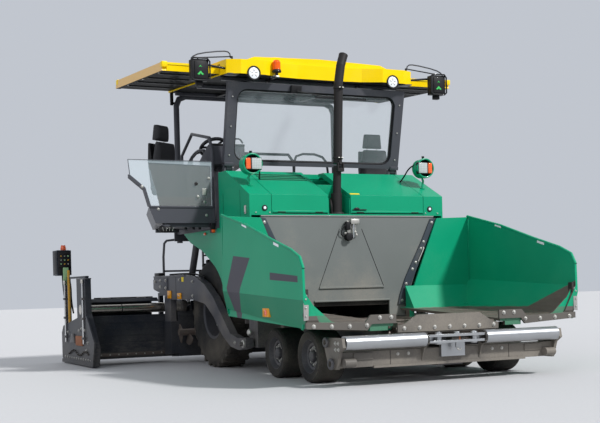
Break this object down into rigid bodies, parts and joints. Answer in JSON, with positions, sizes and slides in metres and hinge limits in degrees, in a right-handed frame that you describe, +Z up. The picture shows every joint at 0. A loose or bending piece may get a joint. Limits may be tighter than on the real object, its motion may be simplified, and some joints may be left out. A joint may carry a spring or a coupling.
{
  "type": "wheeled asphalt paver with extending screed",
  "caption": "Wheeled asphalt paver: folding hopper wings, push rollers, steered front bogies, tall rear tyres, folding roof, sliding stations and a floating screed that widens.",
  "frame": {"origin": "middle of the machine on the ground, between its sides and between its front and rear ends", "axes": "+Z up, -Y towards the front with the hopper, +X towards the left side of the machine"},
  "size_m": [4.96, 6.42, 3.8467],
  "materials": {
    "green_paint": "gloss green paint",
    "dark_paint": "satin dark grey paint",
    "grey_paint": "satin mid grey paint, rubbed by mix",
    "worn_steel": "worn brown steel",
    "bright_steel": "bright turned steel",
    "black_iron": "black heat paint",
    "tyre": "black tyre rubber",
    "screed_paint": "dark blue grey paint",
    "yellow_paint": "gloss yellow moulded roof skin",
    "black_plastic": "black plastic",
    "clear_glass": "clear window glass",
    "seat_black": "black seat fabric",
    "lamp_orange": "amber lamp plastic"
  },
  "bodies": {
    "chassis": {"main_frame": "dark_paint", "hopper_wall": "grey_paint", "bodywork": "green_paint", "engine": "black_iron", "deck": "dark_paint", "conveyor": "worn_steel", "axles": "dark_paint", "headlights": "green_paint"},
    "wing_right": {"wing_right": "green_paint"},
    "wing_left": {"wing_left": "green_paint"},
    "push_bar": {"push_bar": "dark_paint", "tow_clevis": "bright_steel"},
    "roller_right": {"roller_right": "bright_steel"},
    "roller_left": {"roller_left": "bright_steel"},
    "knuckle_front_right": {"knuckle_front_right": "dark_paint"},
    "wheel_front_right": {"wheel_front_right": "tyre"},
    "knuckle_front_left": {"knuckle_front_left": "dark_paint"},
    "wheel_front_left": {"wheel_front_left": "tyre"},
    "knuckle_mid_right": {"knuckle_mid_right": "dark_paint"},
    "wheel_mid_right": {"wheel_mid_right": "tyre"},
    "knuckle_mid_left": {"knuckle_mid_left": "dark_paint"},
    "wheel_mid_left": {"wheel_mid_left": "tyre"},
    "wheel_rear_right": {"wheel_rear_right": "tyre"},
    "wheel_rear_left": {"wheel_rear_left": "tyre"},
    "screed": {"tow_arms": "dark_paint", "screed": "screed_paint"},
    "extension_right": {"extension_right": "screed_paint"},
    "extension_left": {"extension_left": "screed_paint"},
    "auger_right": {"auger_right": "worn_steel"},
    "auger_left": {"auger_left": "worn_steel"},
    "lift_barrel_right": {"lift_barrel_right": "dark_paint"},
    "lift_rod_right": {"lift_rod_right": "bright_steel"},
    "lift_barrel_left": {"lift_barrel_left": "dark_paint"},
    "lift_rod_left": {"lift_rod_left": "bright_steel"},
    "roof_front_frame": {"roof_front_frame": "dark_paint", "windscreen": "clear_glass"},
    "roof": {"roof": "yellow_paint", "roof_lights": "lamp_orange"},
    "roof_rear_frame": {"roof_rear_frame": "dark_paint"},
    "exhaust_stack": {"exhaust_stack": "black_iron"},
    "canopy_right": {"canopy_right": "yellow_paint"},
    "canopy_left": {"canopy_left": "yellow_paint"},
    "station_right": {"station_right": "dark_paint"},
    "station_left": {"station_left": "dark_paint"},
    "seat_right": {"seat_right": "seat_black"},
    "seat_left": {"seat_left": "seat_black"},
    "hood_right": {"hood_right": "green_paint"},
    "hood_left": {"hood_left": "green_paint"}
  },
  "joints": [
    {"name": "wing_right_fold", "type": "hinge", "parent": "chassis", "child": "wing_right", "pos_m": [-0.605, -2.01, 0.556], "axis": [0, 1, 0], "range_deg": [0, 43]},
    {"name": "wing_left_fold", "type": "hinge", "parent": "chassis", "child": "wing_left", "pos_m": [0.605, -2.01, 0.556], "axis": [0, -1, 0], "range_deg": [0, 43]},
    {"name": "push_bar_swing", "type": "hinge", "parent": "chassis", "child": "push_bar", "pos_m": [0, -2.96, 0.3], "axis": [0, 0, 1], "range_deg": [-3.5, 3.5]},
    {"name": "roller_right_spin", "type": "hinge", "parent": "push_bar", "child": "roller_right", "pos_m": [-0.8, -3.11, 0.43], "axis": [1, 0, 0], "continuous": true},
    {"name": "roller_left_spin", "type": "hinge", "parent": "push_bar", "child": "roller_left", "pos_m": [0.8, -3.11, 0.43], "axis": [1, 0, 0], "continuous": true},
    {"name": "steer_front_right", "type": "hinge", "parent": "chassis", "child": "knuckle_front_right", "pos_m": [-0.87, -2.305, 0.27], "axis": [0, 0, 1], "range_deg": [-20, 20]},
    {"name": "spin_front_right", "type": "hinge", "parent": "knuckle_front_right", "child": "wheel_front_right", "pos_m": [-1.087, -2.305, 0.27], "axis": [1, 0, 0], "continuous": true},
    {"name": "steer_front_left", "type": "hinge", "parent": "chassis", "child": "knuckle_front_left", "pos_m": [0.87, -2.305, 0.27], "axis": [0, 0, 1], "range_deg": [-20, 20]},
    {"name": "spin_front_left", "type": "hinge", "parent": "knuckle_front_left", "child": "wheel_front_left", "pos_m": [1.087, -2.305, 0.27], "axis": [1, 0, 0], "continuous": true},
    {"name": "steer_mid_right", "type": "hinge", "parent": "chassis", "child": "knuckle_mid_right", "pos_m": [-0.87, -1.483, 0.27], "axis": [0, 0, 1], "range_deg": [-20, 20]},
    {"name": "spin_mid_right", "type": "hinge", "parent": "knuckle_mid_right", "child": "wheel_mid_right", "pos_m": [-1.087, -1.483, 0.27], "axis": [1, 0, 0], "continuous": true},
    {"name": "steer_mid_left", "type": "hinge", "parent": "chassis", "child": "knuckle_mid_left", "pos_m": [0.87, -1.483, 0.27], "axis": [0, 0, 1], "range_deg": [-20, 20]},
    {"name": "spin_mid_left", "type": "hinge", "parent": "knuckle_mid_left", "child": "wheel_mid_left", "pos_m": [1.087, -1.483, 0.27], "axis": [1, 0, 0], "continuous": true},
    {"name": "spin_rear_right", "type": "hinge", "parent": "chassis", "child": "wheel_rear_right", "pos_m": [-0.948, 0.64, 0.683], "axis": [1, 0, 0], "continuous": true},
    {"name": "spin_rear_left", "type": "hinge", "parent": "chassis", "child": "wheel_rear_left", "pos_m": [0.948, 0.64, 0.683], "axis": [1, 0, 0], "continuous": true},
    {"name": "screed_lift", "type": "hinge", "parent": "chassis", "child": "screed", "pos_m": [0, -0.71, 0.345], "axis": [1, 0, 0], "range_deg": [0, 8]},
    {"name": "extension_right_slide", "type": "slide", "parent": "screed", "child": "extension_right", "axis": [1, 0, 0], "range_m": [-0.16, 0.95]},
    {"name": "extension_left_slide", "type": "slide", "parent": "screed", "child": "extension_left", "axis": [-1, 0, 0], "range_m": [-0.16, 0.95]},
    {"name": "auger_right_spin", "type": "hinge", "parent": "chassis", "child": "auger_right", "pos_m": [-0.65, 1.53, 0.42], "axis": [1, 0, 0], "continuous": true},
    {"name": "auger_left_spin", "type": "hinge", "parent": "chassis", "child": "auger_left", "pos_m": [0.65, 1.53, 0.42], "axis": [1, 0, 0], "continuous": true},
    {"name": "lift_barrel_right_tilt", "type": "hinge", "parent": "chassis", "child": "lift_barrel_right", "pos_m": [-1, 1.39, 1.64], "axis": [1, 0, 0], "range_deg": [-0.2, 7.3]},
    {"name": "lift_rod_right_slide", "type": "slide", "parent": "lift_barrel_right", "child": "lift_rod_right", "axis": [0, -0.4472, 0.8944], "range_m": [-0.002, 0.346]},
    {"name": "lift_barrel_left_tilt", "type": "hinge", "parent": "chassis", "child": "lift_barrel_left", "pos_m": [1, 1.39, 1.64], "axis": [1, 0, 0], "range_deg": [-0.2, 7.3]},
    {"name": "lift_rod_left_slide", "type": "slide", "parent": "lift_barrel_left", "child": "lift_rod_left", "axis": [0, -0.4472, 0.8944], "range_m": [-0.002, 0.346]},
    {"name": "roof_fold", "type": "hinge", "parent": "chassis", "child": "roof_front_frame", "pos_m": [0, -0.05, 2.42], "axis": [1, 0, 0], "range_deg": [0, 45]},
    {"name": "roof_level", "type": "hinge", "parent": "roof_front_frame", "child": "roof", "pos_m": [0, -0.05, 3.45], "axis": [1, 0, 0], "range_deg": [-45, 0]},
    {"name": "roof_rear_fold", "type": "hinge", "parent": "chassis", "child": "roof_rear_frame", "pos_m": [0, 1.59, 2.42], "axis": [1, 0, 0], "range_deg": [0, 45]},
    {"name": "exhaust_fold", "type": "hinge", "parent": "chassis", "child": "exhaust_stack", "pos_m": [-0.09, -0.952, 2.4], "axis": [1, 0, 0], "range_deg": [0, 45]},
    {"name": "canopy_right_slide", "type": "slide", "parent": "roof", "child": "canopy_right", "axis": [1, 0, 0], "range_m": [0, 0.65]},
    {"name": "canopy_left_slide", "type": "slide", "parent": "roof", "child": "canopy_left", "axis": [-1, 0, 0], "range_m": [0, 0.65]},
    {"name": "station_right_slide", "type": "slide", "parent": "chassis", "child": "station_right", "axis": [1, 0, 0], "range_m": [0, 0.55]},
    {"name": "station_left_slide", "type": "slide", "parent": "chassis", "child": "station_left", "axis": [-1, 0, 0], "range_m": [-0.2, 0.35]},
    {"name": "seat_right_swivel", "type": "hinge", "parent": "station_right", "child": "seat_right", "pos_m": [-1.55, 0.59, 2.2], "axis": [0, 0, -1], "range_deg": [0, 35]},
    {"name": "seat_left_swivel", "type": "hinge", "parent": "station_left", "child": "seat_left", "pos_m": [1.35, 0.59, 2.2], "axis": [0, 0, -1], "range_deg": [0, 35]},
    {"name": "hood_right_lift", "type": "hinge", "parent": "chassis", "child": "hood_right", "pos_m": [-0.5, -0.158, 2.314], "axis": [1, 0, 0], "range_deg": [-50, 0]},
    {"name": "hood_left_lift", "type": "hinge", "parent": "chassis", "child": "hood_left", "pos_m": [0.5, -0.158, 2.314], "axis": [1, 0, 0], "range_deg": [-50, 0]}
  ],
  "couplings": [
    {"joint": "steer_front_left", "follows": "steer_front_right", "ratio": 1},
    {"joint": "steer_mid_right", "follows": "steer_front_right", "ratio": 1},
    {"joint": "steer_mid_left", "follows": "steer_front_right", "ratio": 1},
    {"joint": "lift_barrel_right_tilt", "follows": "screed_lift", "ratio": 0.88395},
    {"joint": "lift_rod_right_slide", "follows": "screed_lift", "m_per_rad": 2.462},
    {"joint": "lift_barrel_left_tilt", "follows": "screed_lift", "ratio": 0.88395},
    {"joint": "lift_rod_left_slide", "follows": "screed_lift", "m_per_rad": 2.462},
    {"joint": "roof_level", "follows": "roof_fold", "ratio": -1},
    {"joint": "roof_rear_fold", "follows": "roof_fold", "ratio": 1},
    {"joint": "exhaust_fold", "follows": "roof_fold", "ratio": 1}
  ]
}
